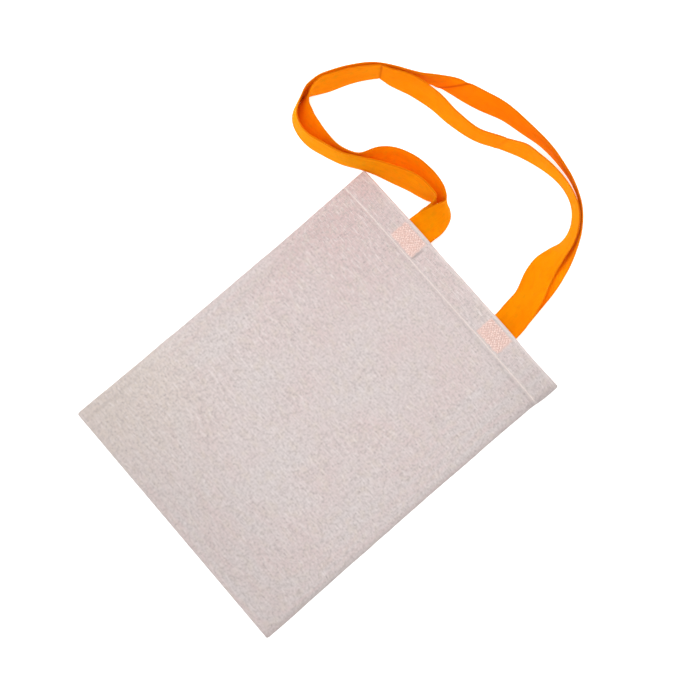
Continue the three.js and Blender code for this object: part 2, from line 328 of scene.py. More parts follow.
back_u, back_x, back_y = bag_plan(column_spacing=2.1, row_spacing=4.0, hem_spacing=0.8)
back_z = back_face(back_x, back_y)
at_seam = hump(seam_distance(back_x, back_y), 0, reach=2)
back_inside = cloth_thickness(back_y) + BACK_SEAM_RISE * at_seam
back_y = back_y + BACK_HEM_SHOWS * (1 + back_u) / 2 * ramp(back_y, HEM_LINE_Y, MOUTH_Y)
back_cloth = cloth_wall("back_cloth", back_x, back_y, back_inside, back_z)
print("back panel:", len(back_cloth.data.polygons), "faces")

# %% [markdown]
# Each strap is a flat cotton tape that leaves the hem flat, turns up on its edge and runs round in
# a loop. A table holds its path, one row for each bend: the place of the edge it stands on and how
# far it leans (0 flat, 90 upright). Where they are not as on the surface, the height of that edge and
# how far the crosswise line is turned back, as in a twist, follow. A cloth simulation would let it
# fall into some other loop, so the path is given row by row, as webbing is best set.

# %% Paths of the straps
LEFT_EDGE_X = STRAP_MIDDLES[0] + STRAP_WIDTH / 2
RIGHT_EDGE_X = STRAP_MIDDLES[1] - STRAP_WIDTH / 2
SEWN_LENGTH = 20
SEWN_END_Y = MOUTH_Y - SEWN_LENGTH
FRONT_RISE, BACK_RISE = 6.0, 2.7
ON_SURFACE = (0.2, 0)
FRONT_BENDS = (
    (-35, 160.8, 21, 5.4, -5), (-36.9, 169.8, 44, 4.4, -15), (-41.3, 177.6, 61, 2.8, -22),
    (-48.6, 182, 78, 1.2, -21), (-57.2, 179, 103, 0.4, -10), (-66.2, 177.2, 113.5),
    (-76.6, 176.8, 115.5), (-90, 175.6, 113), (-103, 169.4, 114.5), (-113.5, 160.6, 110),
    (-124.5, 150.2, 92.5), (-137.5, 141.6, 97), (-149, 136.6, 108), (-163.8, 133.2, 120),
    (-181.2, 135.8, 122), (-190.2, 144.3, 113), (-192, 155.2, 95), (-187.8, 164.7, 77.5),
    (-184.2, 172.2, 74), (-178.3, 188.7, 78), (-170.7, 203.4, 82), (-165.8, 209.8, 83),
    (-155.7, 212.8, 75), (-147.2, 216.1, 70), (-139.2, 219.5, 68.5), (-120.4, 224.6, 70.5),
    (-98.6, 227.7, 76), (-76, 234.2, 83), (-58.3, 244.6, 83.5), (-40.2, 253.4, 82),
    (-15.5, 260.8, 88), (3.1, 261, 91.5), (18.2, 254.8, 88), (28.1, 243.9, 82), (31.8, 230.7, 69),
    (29.5, 219.3, 49, 0.4), (27.9, 206.4, 31.5, 1.3, -2), (30.8, 192.8, 23.5, 2.5, -6),
    (37.8, 176.6, 18, 3.6, -6), (40.3, 162.8, 9, 4.8, -4),
)
BACK_BENDS = (
    (-35.8, 160, 8, 2, -4), (-37, 168, 25, 0.5, -14), (-41.5, 174.2, 45, 0.2, -29),
    (-46.5, 176.6, 54, 0.2, -40), (-52.4, 176.7, 69, 0.2, -40), (-58.4, 175.6, 90, 0.2, -25),
    (-65, 172, 102, 0.2, -7), (-71, 169.4, 109), (-80, 166.2, 112), (-93, 160.8, 109),
    (-106.5, 155, 104), (-118.7, 148.6, 98), (-131.7, 140, 97), (-148, 133.2, 98),
    (-161.9, 129.2, 97), (-175.1, 129.6, 97), (-185.7, 133.8, 99.5), (-193, 142.4, 102),
    (-195, 150.6, 98), (-194.1, 156.8, 90), (-189.9, 165.9, 77.5), (-186.3, 173.2, 73.5),
    (-180.4, 189.7, 77.5), (-172.9, 204.8, 81.5), (-167.8, 212.4, 85.5), (-159.5, 220.3, 89),
    (-150.5, 226.5, 89), (-141.5, 233.2, 90.5), (-131.5, 241, 89.5), (-119.6, 245.5, 79),
    (-106.8, 249.7, 75), (-95.1, 254, 75), (-75.2, 262.6, 79.5), (-56.1, 267, 83),
    (-36.2, 271.4, 90), (-16, 271.8, 94.5), (4.1, 268.9, 98), (24.3, 259, 96.5),
    (36.7, 244, 90.5), (40, 228.1, 74), (39.4, 218.2, 58), (38, 207.5, 41.5), (37.3, 194.3, 26.5),
    (37.9, 179.8, 17, 0.4), (39.4, 164.4, 8, 1.6),
)


def strap_rows(bends, rise):
    """The whole path: sewn flat under the hem at both ends, with the bends between."""
    left = [(LEFT_EDGE_X, y, 0, rise, 0) for y in (SEWN_END_Y, MOUTH_Y)]
    right = [(RIGHT_EDGE_X, y, 0, rise, 0) for y in (MOUTH_Y, SEWN_END_Y)]
    whole = [(*bend, *ON_SURFACE[len(bend) - 3:]) for bend in bends]
    return np.array([*left, *whole, *right], float)


front_rows = strap_rows(FRONT_BENDS, FRONT_RISE)
back_rows = strap_rows(BACK_BENDS, BACK_RISE)
print("bends:", len(FRONT_BENDS), "and", len(BACK_BENDS))

# %% [markdown]
# A smooth curve has to run through the rows without swinging out between them. A centripetal spline
# does that even where rows lie close together, and it is the curve that the frame's own straps
# follow, so the finer tape lies in the same place.

# %% A smooth run through the rows
STEPS_PER_ROW = 12


def smooth_run(knots):
    """Points on a centripetal spline, STEPS_PER_ROW from each knot to the next."""
    whole = np.vstack([2 * knots[0] - knots[1], knots, 2 * knots[-1] - knots[-2]])
    points = []
    for p0, p1, p2, p3 in zip(whole, whole[1:], whole[2:], whole[3:]):
        d1 = np.linalg.norm(p2 - p1) ** 0.5 or 1.0
        d0 = np.linalg.norm(p1 - p0) ** 0.5 or d1
        d2 = np.linalg.norm(p3 - p2) ** 0.5 or d1
        m1 = d1 * ((p1 - p0) / d0 - (p2 - p0) / (d0 + d1) + (p2 - p1) / d1)
        m2 = d1 * ((p2 - p1) / d1 - (p3 - p1) / (d1 + d2) + (p3 - p2) / d2)
        for t in np.arange(STEPS_PER_ROW) / STEPS_PER_ROW:
            bend = (2 * p1 - 2 * p2 + m1 + m2) * t**3 + (3 * p2 - 3 * p1 - 2 * m1 - m2) * t**2
            points.append(p1 + m1 * t + bend)
    return np.array([*points, knots[-1]])


print("points on the front strap's run:", len(smooth_run(front_rows[:, :2])))

# %% [markdown]
# The tape's cross-section is a thin bar with round, slightly thicker edges, the selvedges that
# keep woven tape from fraying. It is given as a ring of points: how far across the tape each one
# lies, and how far off its middle. They are closest at the edges, where the section is round.

# %% Section of the tape
SECTION = (0, 0.1, 0.35, 0.8, 1.3, 2.2, 3.4, 4.8, 6.2, 7.6, 9, 10.4, 11.6, 12.7)
FLAT_SHARE, SELVEDGE_SHARE = 0.84, 0.16


def section_ring():
    """Reach across the tape and half thickness, round the section, starting at the near edge."""
    reach = np.array([*SECTION, *[STRAP_WIDTH - r for r in SECTION[-2::-1]]])
    edge = np.minimum(reach, STRAP_WIDTH - reach)
    half = STRAP_THICKNESS / 2
    round_off = np.sqrt(1 - (1 - np.clip(edge / half, 0, 1)) ** 2)
    depth = half * round_off * (FLAT_SHARE + SELVEDGE_SHARE * hump(edge, 1.2, reach=0.9))
    return np.append(reach, reach[-2:0:-1]), np.append(depth, -depth[-2:0:-1])


print("points round the section:", len(section_ring()[0]))

# %% [markdown]
# At every step of its path the tape needs two directions: the one across it, which the lean tips up
# from the surface, and the one its face looks in. Cloth never turns at once, so the direction across
# is blended with its neighbours. A curve with a bevel could carry the section too, but its tilt is
# hard to steer where the tape twists.

# %% How the tape lies
EASING = 15


def eased(directions):
    """Directions along a path, each blended with its neighbours."""
    kernel = np.hanning(EASING + 2)[1:-1]
    padded = np.pad(directions, ((EASING // 2, EASING // 2), (0, 0)), mode="edge")
    blended = np.stack([np.convolve(axis, kernel, mode="valid") for axis in padded.T], -1)
    return blended / np.linalg.norm(blended, axis=1)[:, None]


def tape_lie(rows):
    """Along a strap: the edge it stands on, the ways across and off its face, and the length."""
    foot = smooth_run(rows[:, [0, 1, 3]]) + UP * STRAP_THICKNESS / 2
    lean, skew = np.radians(smooth_run(rows[:, [2, 4]])).T
    run = np.gradient(foot, axis=0)
    heading = np.arctan2(run[:, 1], run[:, 0]) + skew
    along = np.stack([np.cos(heading), np.sin(heading), 0 * heading], -1)
    across = eased(np.cos(lean)[:, None] * np.cross(UP, along) + np.sin(lean)[:, None] * UP)
    face = np.cross(along, across)
    face /= np.linalg.norm(face, axis=1)[:, None]
    middle = foot + across * STRAP_WIDTH / 2
    length = np.concatenate([[0], np.cumsum(np.linalg.norm(np.diff(middle, axis=0), axis=1))])
    return foot, across, face, length


print("steps along the straps:", [len(tape_lie(rows)[-1]) for rows in (front_rows, back_rows)])

# %% [markdown]
# The tape also cups and ripples a little. It has a sharp crease or two where it was folded flat in
# its package. Each is a row on the path, a height, a slant and a breadth. And it curls at an edge,
# mostly where the straps press on each other: a row, a height, a spread, and 0 for the edge it stands
# on or 1 for the other. The sewn ends are held flat.

# %% Ripples, creases and curls
FRONT_CREASES = ((23, -0.8, 0.0, 1.3), (30, 0.35, 0.3, 1.3))
BACK_CREASES = ((30.9, 0.8, 0.9, 2.2),)
FRONT_CURLS = (
    (4.6, -0.6, 4.0, 0), (6.2, -1.9, 7.0, 0), (17, -1, 9.0, 0), (17.9, 1.8, 9.0, 1),
    (31, -1.4, 9.0, 1), (34.4, -0.4, 16.0, 1), (39.9, 5.5, 17.0, 1),
)
BACK_CURLS = (
    (19.9, 1.25, 10.0, 0), (33, 1.3, 30.0, 0), (33.2, -1.8, 32.0, 1), (39.5, 0.4, 18.0, 1),
)
HELD_END, FREE_FROM = 22, 45
TAPE_CUP, TAPE_RIPPLE = 0.35, 0.22


def tape_lift(r, v, length, creases, curls, seed):
    """How far each point is lifted off the flat tape, and the painted shade of a crease there."""
    whole = length[-1]
    free = ramp(v, HELD_END, FREE_FROM) * (1 - ramp(v, whole - FREE_FROM, whole - HELD_END))
    cup = TAPE_CUP * (1 - (2 * r / STRAP_WIDTH - 1) ** 2) * wander(0 * v, v, size=46, seed=seed)
    lift = free * (cup + TAPE_RIPPLE * wander(r, v, size=17, seed=seed + 5))
    crease_shade = np.zeros_like(r)
    for row, amount, slant, breadth in creases:
        line = length[round(row * STEPS_PER_ROW)] + slant * (r - STRAP_WIDTH / 2)
        across_fold = (v - line) / math.hypot(1, slant)
        lift += amount * hump(across_fold, 0, breadth)
        # Painted shade along each crease, set just off its fold line.
        crease_shade += abs(amount) * hump(across_fold, 0.5 * breadth, 0.7 * breadth)
    for row, amount, spread, edge in curls:
        near_edge = (1 - np.abs(edge - r / STRAP_WIDTH)) ** 2
        lift += amount * near_edge * hump(v, length[round(row * STEPS_PER_ROW)], spread)
    return lift, np.clip(crease_shade, 0, 1)


print("curls:", len(FRONT_CURLS), "and", len(BACK_CURLS))

# %% [markdown]
# Now the section is carried along each path and lifted off the flat tape, which gives a closed mesh.
# A UV map in metres goes with it, across and along the tape, so that the weave can follow every
# twist, and an attribute holds the painted shade along the creases.

# %% Straps
def tape(name, rows, creases, curls, seed):
    """A strap, and its length in millimetres."""
    foot, across, face, length = tape_lie(rows)
    reach, depth = section_ring()
    r, v = np.meshgrid(reach, length)
    lift, crease_shade = tape_lift(r, v, length, creases, curls, seed)
    off_face = (depth + lift)[..., None] * face[:, None]
    points = foot[:, None] + r[..., None] * across[:, None] + off_face
    grid = np.arange(r.size).reshape(r.shape)
    after = np.roll(grid, -1, axis=1)
    faces = quads(grid[:-1], grid[1:], after[1:], after[:-1])
    faces += [grid[0].tolist(), grid[-1, ::-1].tolist()]
    piece = plain_mesh(name, points.reshape(-1, 3), faces)
    layer = piece.data.uv_layers.new(name="tape")
    corner = np.zeros(len(piece.data.loops), np.int32)
    piece.data.loops.foreach_get("vertex_index", corner)
    place = np.stack([r.ravel(), v.ravel()], -1)[corner] * MM
    layer.data.foreach_set("uv", place.astype(np.float32).ravel())
    mark = piece.data.attributes.new("painted_crease_shade", "FLOAT", "POINT")
    mark.data.foreach_set("value", crease_shade.astype(np.float32).ravel())
    return piece, length[-1]


front_strap, front_length = tape("front_strap", front_rows, FRONT_CREASES, FRONT_CURLS, seed=41.0)
back_strap, back_length = tape("back_strap", back_rows, BACK_CREASES, BACK_CURLS, seed=47.0)
print(f"strap lengths: {front_length:.0f} and {back_length:.0f} mm")

# %% [markdown]
# Stitches repeat hundreds of times, so Geometry Nodes make them. A guide mesh holds one loose edge
# for each stitch. The tree turns every edge into its own little curve, arches it so that both ends
# dive into the cloth, and gives it the thickness of the thread. Thread size and arch are inputs of
# the tree, so one tree sews both sides of the bag.

# %% A tree that sews
POINTS_PER_STITCH, THREAD_SIDES = 6, 6


def stitch_tree():
    """A tree with its inputs and its nodes, which a table holds by their kinds."""
    tree = bpy.data.node_groups.new("sewn_stitches", "GeometryNodeTree")
    sockets = tree.interface
    sockets.new_socket(name="Geometry", in_out="INPUT", socket_type="NodeSocketGeometry")
    for name in ("Thread Radius", "Arch"):
        sockets.new_socket(name=name, in_out="INPUT", socket_type="NodeSocketFloat")
    sockets.new_socket(name="Thread", in_out="INPUT", socket_type="NodeSocketMaterial")
    sockets.new_socket(name="Geometry", in_out="OUTPUT", socket_type="NodeSocketGeometry")
    node = {}
    for kind in (
        "NodeGroupInput", "GeometryNodeMeshToCurve", "GeometryNodeResampleCurve",
        "GeometryNodeSplineParameter", "GeometryNodeSetPosition", "GeometryNodeCurveToMesh",
        "GeometryNodeCurvePrimitiveCircle", "GeometryNodeSetShadeSmooth", "ShaderNodeCombineXYZ",
        "GeometryNodeRealizeInstances", "GeometryNodeSetMaterial", "NodeGroupOutput",
    ):
        node[kind.removeprefix("GeometryNode")] = tree.nodes.new(kind)
    return tree, node


def join(tree, *pairs):
    """Links each output to its input."""
    for output, socket in pairs:
        tree.links.new(output, socket)


def set_inputs(node, values):
    """Constant values for the inputs of a node, by name."""
    for name, value in values.items():
        node.inputs[name].default_value = value


def maths(tree, operation, first, second):
    """A Math node; each side is a socket or a number."""
    node = tree.nodes.new("ShaderNodeMath")
    node.operation = operation
    for side, value in zip(node.inputs, (first, second)):
        if isinstance(value, (int, float)):
            side.default_value = value
        else:
            tree.links.new(value, side)
    return node.outputs[0]


sewing, part = stitch_tree()
given = part["NodeGroupInput"].outputs
resample, ring = part["ResampleCurve"], part["CurvePrimitiveCircle"]
set_inputs(resample, {"Count": POINTS_PER_STITCH})
set_inputs(ring, {"Resolution": THREAD_SIDES})
print("sewing tree inputs:", [s.name for s in given if s.name])

# %% [markdown]
# The arch is a parabola over each stitch: nothing at the ends and one in the middle. The arch input
# scales it, and a negative arch sews the underside. The thread's ring runs along every curve, and
# the result is realised and given the thread's material, because an export keeps only real mesh.

# %% Link the sewing tree
twice = maths(sewing, "MULTIPLY", part["SplineParameter"].outputs["Factor"], 2.0)
swing = maths(sewing, "SUBTRACT", twice, 1.0)
bow = maths(sewing, "SUBTRACT", 1.0, maths(sewing, "MULTIPLY", swing, swing))
lift = maths(sewing, "MULTIPLY", bow, given["Arch"])
join(
    sewing,
    (given["Geometry"], part["MeshToCurve"].inputs["Mesh"]),
    (part["MeshToCurve"].outputs["Curve"], resample.inputs["Curve"]),
    (resample.outputs["Curve"], part["SetPosition"].inputs["Geometry"]),
    (lift, part["ShaderNodeCombineXYZ"].inputs["Z"]),
    (part["ShaderNodeCombineXYZ"].outputs["Vector"], part["SetPosition"].inputs["Offset"]),
    (given["Thread Radius"], ring.inputs["Radius"]),
    (part["SetPosition"].outputs["Geometry"], part["CurveToMesh"].inputs["Curve"]),
    (ring.outputs["Curve"], part["CurveToMesh"].inputs["Profile Curve"]),
    (part["CurveToMesh"].outputs["Mesh"], part["SetShadeSmooth"].inputs["Geometry"]),
    (part["SetShadeSmooth"].outputs["Geometry"], part["RealizeInstances"].inputs["Geometry"]),
    (part["RealizeInstances"].outputs["Geometry"], part["SetMaterial"].inputs["Geometry"]),
    (given["Thread"], part["SetMaterial"].inputs["Material"]),
    (part["SetMaterial"].outputs["Geometry"], part["NodeGroupOutput"].inputs["Geometry"]),
)
set_inputs(part["CurveToMesh"], {"Fill Caps": True})
print("sewing tree:", len(sewing.nodes), "nodes")

# %% [markdown]
# Materials are built from a few small helpers, so that each finish below reads as a list of layers.
# One lays a noise over the cloth at a chosen size in each direction, one stretches a value, one mixes
# two colours by a mask, and one glazes a colour with a tint where a noise is high. Colours are written
# as they look on a screen and turned to the linear values that Blender works in.

# %% Helpers for materials
def linear(red, green, blue):
    """An sRGB colour of 0 to 255 as Blender's linear colour."""
    shares = [c / 255 for c in (red, green, blue)]
    return (*[s / 12.92 if s <= 0.04045 else ((s + 0.055) / 1.055) ** 2.4 for s in shares], 1.0)


def new_material(name):
    """A material, with its tree and its shader."""
    material = bpy.data.materials.new(name)
    material.use_nodes = True
    shader = material.node_tree.nodes["Principled BSDF"]
    return material, material.node_tree, shader


def speckle(tree, place, across, along, detail=2.0, seed=0.0):
    """Noise whose grains are across by along millimetres, from 0 to 1."""
    mapping = tree.nodes.new("ShaderNodeMapping")
    scale = (1 / (across * MM), 1 / (along * MM), 1 / MM)
    set_inputs(mapping, {"Scale": scale, "Location": (seed, 2 * seed, 3 * seed)})
    cloud = tree.nodes.new("ShaderNodeTexNoise")
    set_inputs(cloud, {"Scale": 1.0, "Detail": detail})
    join(tree, (place, mapping.inputs["Vector"]), (mapping.outputs["Vector"], cloud.inputs["Vector"]))
    return cloud.outputs["Fac"]


def between(tree, value, low, high, start=0.0, end=1.0):
    """The value stretched from low to high into start to end, and held there outside."""
    stretch = tree.nodes.new("ShaderNodeMapRange")
    set_inputs(stretch, {"From Min": low, "From Max": high, "To Min": start, "To Max": end})
    tree.links.new(value, stretch.inputs["Value"])
    return stretch.outputs["Result"]


def mix(tree, mask, first, second):
    """The first colour where the mask is 0, the second where it is 1."""
    node = tree.nodes.new("ShaderNodeMix")
    node.data_type = "RGBA"
    tree.links.new(mask, node.inputs["Factor"])
    for side, colour in ((node.inputs["A"], first), (node.inputs["B"], second)):
        if isinstance(colour, tuple):
            side.default_value = colour
        else:
            tree.links.new(colour, side)
    return node.outputs["Result"]


def glaze(tree, colour, tint, value, low, high, most):
    """The colour with a tint laid over it: none where the value is low, the most where it is high."""
    return mix(tree, between(tree, value, low, high, 0.0, most), colour, tint)


def painted(tree, name):
    """An attribute of the mesh, as a mask."""
    layer = tree.nodes.new("ShaderNodeAttribute")
    layer.attribute_name = name
    return layer.outputs["Fac"]


print("mid grey in linear light:", round(linear(128, 128, 128)[0], 3))

# %% [markdown]
# Plain weave is warp and weft passing over and under each other by turns. The product of two sine
# waves gives just that pattern of small bumps. Its period is two threads in each direction. A
# little noise in the coordinates keeps the threads from running as straight as a ruler.

# %% Plain weave
WARP_GAP, WEFT_GAP = 0.6, 0.66


def plain_weave(tree, place, warp_gap, weft_gap, sway):
    """Height of a plain weave, from -1 to 1, with the thread gaps in millimetres."""
    apart = tree.nodes.new("ShaderNodeSeparateXYZ")
    tree.links.new(place, apart.inputs["Vector"])
    drift = speckle(tree, place, across=3.0, along=3.0)
    waver = between(tree, drift, 0.3, 0.7, -sway * MM, sway * MM)
    waves = []
    for axis, gap in (("X", warp_gap), ("Y", weft_gap)):
        moved = maths(tree, "ADD", apart.outputs[axis], waver)
        waves.append(maths(tree, "SINE", maths(tree, "MULTIPLY", moved, math.pi / (gap * MM)), 0.0))
    return maths(tree, "MULTIPLY", waves[0], waves[1])


def gap_shade(tree, weave, most):
    """A mask of painted shade in the small gaps where threads cross, from 0 to most."""
    return between(tree, maths(tree, "ABSOLUTE", weave, 0.0), 0.0, 0.4, most, 0.0)


def raise_surface(tree, shader, height, distance, strength):
    """Bumps on a shader, the distance in millimetres."""
    bump = tree.nodes.new("ShaderNodeBump")
    set_inputs(bump, {"Distance": distance * MM, "Strength": strength})
    join(tree, (height, bump.inputs["Height"]), (bump.outputs["Normal"], shader.inputs["Normal"]))


print(f"the canvas repeats every {2 * WARP_GAP:.2f} by {2 * WEFT_GAP:.2f} mm")

# %% [markdown]
# The canvas is spun from mixed and recycled cotton, so it is heathered: a pale pinkish grey in
# which single threads are lighter, rosier or greyer, with short dark flecks. Streaks along the weft
# and the warp, a fine mottle and broad soft patches are laid over each other. Five attributes on the
# mesh lead the rest. Two say where the bale ran rosy or sandy. The others tint the cloth in the
# stitched blocks, where the strap glows through, lay a painted highlight along the hem line's ridge,
# lighten the mouth's edge where it is rubbed, and lay painted shade in folds, at the seams and towards
# the base.

# %% Canvas
PALE, ROSY, SANDY = linear(201, 192, 191), linear(204, 182, 180), linear(201, 189, 178)
BLUSH = linear(200, 174, 172)
GREY, SLUB, FLECK = linear(170, 160, 158), linear(219, 210, 208), linear(126, 115, 113)
# The pale tint is a painted highlight on the hem line and wear at the mouth; SHADE is painted shade.
PEACH, LIT_AND_WORN, SHADE = linear(222, 188, 177), linear(222, 212, 208), linear(128, 117, 114)

canvas, cloth, shader = new_material("heathered_canvas")
place = cloth.nodes.new("ShaderNodeTexCoord").outputs["Object"]
weft = speckle(cloth, place, across=7.0, along=0.75, detail=3.0, seed=1.0)
warp = speckle(cloth, place, across=0.75, along=7.0, detail=3.0, seed=2.0)
mottle = speckle(cloth, place, across=1.9, along=1.9, detail=2.0, seed=3.0)
patches = speckle(cloth, place, across=48.0, along=60.0, detail=2.0, seed=4.0)
blends = speckle(cloth, place, across=9.0, along=7.0, detail=1.0, seed=7.0)
colour = glaze(cloth, PALE, ROSY, patches, 0.35, 0.65, most=0.6)
for name, tint in (("rosy", BLUSH), ("sandy", SANDY)):
    colour = mix(cloth, painted(cloth, name), colour, tint)
colour = glaze(cloth, colour, SANDY, blends, 0.5, 0.7, most=0.5)
colour = glaze(cloth, colour, GREY, mottle, 0.45, 0.75, most=0.85)
colour = glaze(cloth, colour, SLUB, weft, 0.5, 0.72, most=0.85)
colour = glaze(cloth, colour, GREY, warp, 0.54, 0.78, most=0.7)
print("canvas colour layers: patches, rosy and sandy spots, blends, mottle, weft, warp")

# %% [markdown]
# Dark flecks, the painted tints and painted shade in the small gaps between threads go on last.
# The same weave that lays the painted shade in the gaps also raises the surface, with the streaks as
# thicker threads, so colour and relief belong together. Cotton is matt, with a faint sheen from its
# fibres.

# %% Flecks, tint and relief of the canvas
for across, along, seed in ((2.6, 0.8, 5.0), (0.8, 2.6, 6.0)):
    grain = speckle(cloth, place, across, along, detail=1.0, seed=seed)
    colour = glaze(cloth, colour, FLECK, grain, 0.64, 0.82, most=0.7)
# Painted tints: warm in the blocks, a painted highlight with wear, and painted shade.
for name, tint in (("sewn_tint", PEACH), ("highlight_and_wear", LIT_AND_WORN), ("painted_shade", SHADE)):
    colour = mix(cloth, painted(cloth, name), colour, tint)
weave = plain_weave(cloth, place, WARP_GAP, WEFT_GAP, sway=0.12)
# Painted shade in the gaps between threads.
colour = mix(cloth, gap_shade(cloth, weave, most=0.4), colour, GREY)
cloth.links.new(colour, shader.inputs["Base Color"])
cloth.links.new(between(cloth, mottle, 0.3, 0.7, 0.84, 0.97), shader.inputs["Roughness"])
streaks = maths(cloth, "MULTIPLY", maths(cloth, "ADD", weft, warp), 1.4)
raise_surface(cloth, shader, maths(cloth, "ADD", weave, streaks), distance=0.16, strength=0.9)
set_inputs(shader, {"Sheen Weight": 0.12, "Sheen Roughness": 0.6, "Specular IOR Level": 0.2})
print("canvas:", len(cloth.nodes), "nodes")

# %% [markdown]
# The tints follow the same places that shaped the cloth, so tint and relief always meet: a painted
# highlight on the hem line, pale wear at the rubbed mouth, painted shade in folds, at the seams and
# towards the base, warm in the blocks. Each is a formula of the place, from 0 to 1. They could be
# painted by hand in Vertex Paint, but a formula moves along when a size of the bag is changed.

# %% Where the cloth gets painted highlight, wear, painted shade and tint
def highlight_and_wear(x, y):
    """Painted highlight along the hem line's ridge, broader to the right, and paler where the mouth's
    edge is rubbed.
    """
    # The hem line's part is a painted highlight on the ridge that the seam draws up.
    breadth = 0.8 + 0.5 * ramp(x, 20, 115)
    line = hump(y, HEM_LINE_Y, breadth) * (0.75 + 0.35 * wander(x, 0, size=4, seed=51.0))
    at_edge = ramp(y, MOUTH_Y - 3.2, MOUTH_Y - 1.6)
    rubbed = 0.6 * at_edge * (0.8 + 0.4 * wander(x, 0, size=14, seed=53.0))
    return np.clip(line + rubbed, 0, 1)


def painted_shade(x, y):
    """Painted shade in the tuck, under the hem line and at the side seams, darker towards the base."""
    # Painted shade under the step of the hem.
    step = (0.14 + 0.08 * ramp(x, -20, 60)) * hump(y, HEM_LINE_Y - 2.6, reach=1.3)
    # Painted shade on the right edge, where the cloth rounds away from the light.
    turned = 0.3 * hump(half_width(y) - x, 0, reach=3.5)
    inward = x + half_width(y)
    # Painted shadow of the seam allowance's ridge on the left side, narrow near the base, broad higher
    # up.
    folded_in = 0.16 * hump(inward, ALLOWANCE, reach=1.1) * (1 - ramp(y, -120, -70))
    broad = 0.09 * hump(inward, 1.5 * ALLOWANCE, reach=6)
    folded_in += broad * ramp(y, -60, 20) * (1 - ramp(y, 90, 120))
    # Painted falloff of the light, darker towards the base and at the right end of the hem.
    falloff_shade = 0.11 * (1 - ramp(y, BASE_Y, -50)) + 0.11 * ramp(x, 55, 110) * ramp(y, 70, 130)
    # The tuck gets painted shade as well.
    return np.clip(0.6 * tuck(x, y) + step + turned + folded_in + falloff_shade, 0, 1)


def sewn_tint(x, y):
    """The blocks' warm tint, uneven and ragged at the rim, where the zigzag turns back."""
    stray = wander(x, y, size=3.5, seed=61.0)
    return block_share(x + stray, y + stray) * (0.78 + 0.25 * wander(x, y, size=5, seed=63.0))


def near_spot(x, y, spot, reach):
    """A broad soft patch of another tone, ragged at its rim."""
    far = np.hypot(x - spot[0], y - spot[1]) + 18 * wander(x, y, size=30, seed=57.0)
    return np.exp(-((far / reach) ** 2))


print(f"shade inside the tuck: {float(painted_shade(TUCK_X, TUCK_LOW_Y + 3)):.2f}")

# %% [markdown]
# A mesh attribute is the right place for the tints: it stays with the cloth, whatever is done to the
# object later. Each formula is worked out at every point of a panel and written to an attribute of
# its own, which the canvas reads by name.

# %% Paint the panels
ROSY_SPOT, ROSY_REACH, ROSY_MOST = (-95.0, 105.0), 65, 0.95
SANDY_SPOT, SANDY_REACH, SANDY_MOST = (-105.0, -115.0), 60, 0.7


def paint(piece, name, share):
    """A value for every point of the piece, worked out from its x and y in millimetres."""
    co = np.zeros(len(piece.data.vertices) * 3, np.float32)
    piece.data.vertices.foreach_get("co", co)
    x, y, _ = co.reshape(-1, 3).T.astype(float) / MM
    layer = piece.data.attributes.new(name, "FLOAT", "POINT")
    layer.data.foreach_set("value", np.asarray(share(x, y), np.float32))


for panel in (front_cloth, back_cloth):
    panel.data.materials.append(canvas)
    paint(panel, "rosy", lambda x, y: ROSY_MOST * near_spot(x, y, ROSY_SPOT, ROSY_REACH))
    paint(panel, "sandy", lambda x, y: SANDY_MOST * near_spot(x, y, SANDY_SPOT, SANDY_REACH))
    paint(panel, "sewn_tint", sewn_tint)
    paint(panel, "highlight_and_wear", highlight_and_wear)
    paint(panel, "painted_shade", painted_shade)
print("painted:", [layer.name for layer in front_cloth.data.attributes][-5:])

# %% [markdown]
# The straps are dyed cotton tape in a strong orange. Warp threads run along the tape as fine ribs,
# so the colour is stretched along it. The dye takes unevenly, with deep and dull spots, the selvedges
# are darker, and rubbing leaves a few pale fibres on the ribs. Painted shade darkens the creases and
# the gaps between threads. The noise and the weave read the tape's own UV map, so they follow the
# strap through every twist.

# %% Orange tape
ORANGE, DEEP, BRIGHT = linear(247, 139, 0), linear(238, 125, 0), linear(252, 147, 0)
# The crease colour is painted shade in the creases.
RUBBED, SELVEDGE, SHADED_CREASE = linear(252, 156, 12), linear(186, 98, 4), linear(182, 78, 0)
# The gap colour is painted shade between the threads.
SHADED_GAP, DULL = linear(226, 108, 0), linear(224, 134, 8)
RIB_GAP, PICK_GAP = 0.62, 0.5
SELVEDGE_FROM, SELVEDGE_BY = 11.4, 12.5

orange, web, shader = new_material("orange_tape")
uv = web.nodes.new("ShaderNodeUVMap")
uv.uv_map = "tape"
place = uv.outputs["UV"]
ribs = speckle(web, place, across=0.8, along=30.0, detail=2.0, seed=1.0)
dye = speckle(web, place, across=22.0, along=40.0, detail=2.0, seed=2.0)
rub = speckle(web, place, across=0.9, along=3.0, detail=1.0, seed=3.0)
deep_spots = speckle(web, place, across=3.0, along=7.0, detail=3.0, seed=4.0)
dull_spots = speckle(web, place, across=4.0, along=6.0, detail=2.0, seed=5.0)
colour = glaze(web, ORANGE, DEEP, dye, 0.35, 0.68, most=1.0)
colour = glaze(web, colour, BRIGHT, ribs, 0.4, 0.75, most=0.55)
colour = glaze(web, colour, DEEP, deep_spots, 0.52, 0.75, most=0.8)
colour = glaze(web, colour, DULL, dull_spots, 0.52, 0.72, most=0.7)
colour = glaze(web, colour, RUBBED, rub, 0.68, 0.8, most=0.3)
across_tape = web.nodes.new("ShaderNodeSeparateXYZ")
web.links.new(place, across_tape.inputs["Vector"])
from_middle = maths(web, "SUBTRACT", across_tape.outputs["X"], STRAP_WIDTH / 2 * MM)
off_middle = maths(web, "ABSOLUTE", from_middle, 0.0)
colour = glaze(web, colour, SELVEDGE, off_middle, SELVEDGE_FROM * MM, SELVEDGE_BY * MM, most=0.85)
# Painted shade along the creases.
colour = mix(web, painted(web, "painted_crease_shade"), colour, SHADED_CREASE)
weave = plain_weave(web, place, RIB_GAP, PICK_GAP, sway=0.05)
